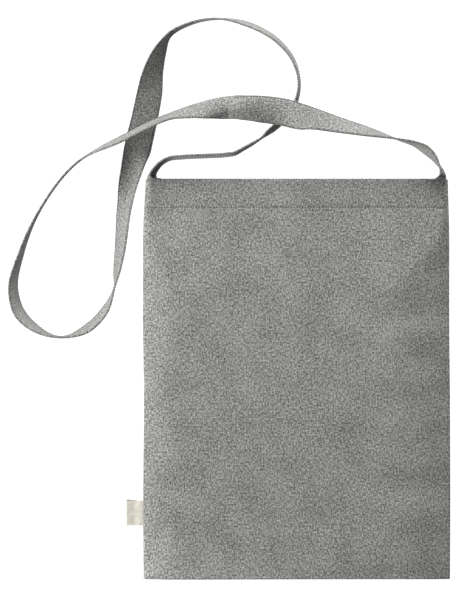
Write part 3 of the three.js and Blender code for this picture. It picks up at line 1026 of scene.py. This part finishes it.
def white_surface(name):
    """A plain pale surface that glows, so that it stays white in the soft light."""
    material, tree, shader = new_material(name)
    place = add_node(tree, "ShaderNodeTexCoord").outputs["Object"]
    cloud = add_node(tree, "ShaderNodeTexNoise", Vector=place, Scale=FLOOR_CLOUDS, Detail=2)
    colour = colour_ramp(tree, cloud.outputs["Fac"], FLOOR_STOPS)
    tree.links.new(colour, shader.inputs["Base Color"])
    set_inputs(shader, {
        "Roughness": 0.9,
        "Emission Color": WHITE,
        "Emission Strength": FLOOR_GLOW,
    })
    return material


bag_cloth = melange_cloth("grey melange bag cloth", shaded(GREY_STOPS, BAG_SHADE))
# The strap's cloth is the bag's cloth painted darker, as painted shade.
strap_cloth_with_painted_shade = melange_cloth("grey melange strap cloth with painted shade", shaded(GREY_STOPS, STRAP_PAINTED_SHADE))
tape_face = woven_tape("cream woven tape", TAPE_FACE_STOPS)
tape_reverse = woven_tape("tape reverse", TAPE_REVERSE_STOPS)
# The thread is painted near black, as painted shade of the stitch holes.
thread_painted_dark = sewing_thread("sewing thread painted dark as stitch shade", THREAD_PAINTED_SHADE_COLOUR)
floor_white = white_surface("white surface")


# Pieces

front = panel("front_cloth", front_height, 1, PANEL_CELL, bag_cloth)
back = panel("back_cloth", back_height, -1, 2 * PANEL_CELL, bag_cloth)
shoulder_strap = strap("shoulder_strap", strap_cloth_with_painted_shade)
tag, tape_length = side_tag("side_tag", tape_face, tape_reverse)

STITCH_TREE, STITCH_SOCKETS = stitch_tree()
front_hem_thread = sewn_row("front_hem_thread", hem_stitches(front_height, 1), HEM_STITCH, thread_painted_dark)
back_hem_thread = sewn_row("back_hem_thread", hem_stitches(back_height, -1), HEM_STITCH, thread_painted_dark)
strap_thread = sewn_row("strap_thread", strap_stitches(), STRAP_STITCH, thread_painted_dark)

for piece in (front, back, shoulder_strap, tag, front_hem_thread, back_hem_thread, strap_thread):
    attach(piece, "root")

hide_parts("front_panel")
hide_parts("back_panel")
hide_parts("strap")
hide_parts("side_label")


# Floor and light

def add_floor():
    mesh = bpy.data.meshes.new("floor")
    corners = [(-1, -1), (1, -1), (1, 1), (-1, 1)]
    mesh.from_pydata([(x * FLOOR_HALF, y * FLOOR_HALF, 0) for x, y in corners], [], [(0, 1, 2, 3)])
    mesh.materials.append(floor_white)
    floor = bpy.data.objects.new("floor", mesh)
    floor.visible_diffuse = False
    scene.collection.objects.link(floor)


def add_softbox(softbox):
    """A square light that faces the middle of the bag."""
    light = bpy.data.lights.new(softbox.name, "AREA")
    light.shape = "SQUARE"
    light.size = softbox.size
    light.energy = softbox.power
    light.use_shadow = softbox.shadows
    holder = bpy.data.objects.new(softbox.name, light)
    turn = math.radians(softbox.way)
    rise = math.radians(softbox.height)
    level = math.cos(rise)
    towards = Vector((level * math.sin(turn), level * math.cos(turn), math.sin(rise)))
    holder.location = SOFTBOX_DISTANCE * towards
    holder.rotation_euler = towards.to_track_quat("Z", "Y").to_euler()
    scene.collection.objects.link(holder)


def add_world():
    """A faint even dome of light above, and the light that the surface throws back from below."""
    world = bpy.data.worlds.new("studio")
    world.use_nodes = True
    tree = world.node_tree
    look = add_node(tree, "ShaderNodeTexCoord").outputs["Generated"]
    up = add_node(tree, "ShaderNodeSeparateXYZ", Vector=look).outputs["Z"]
    above = math_node(tree, "GREATER_THAN", up, 0.0)
    strength = add_node(tree, "ShaderNodeMix", _0=above, _2=BOUNCE_STRENGTH, _3=DOME_STRENGTH)
    background = tree.nodes["Background"]
    tree.links.new(strength.outputs[0], background.inputs["Strength"])
    set_inputs(background, {"Color": WHITE})
    scene.world = world


add_floor()
for softbox in SOFTBOXES:
    add_softbox(softbox)
add_world()
scene.view_settings.view_transform = "Standard"
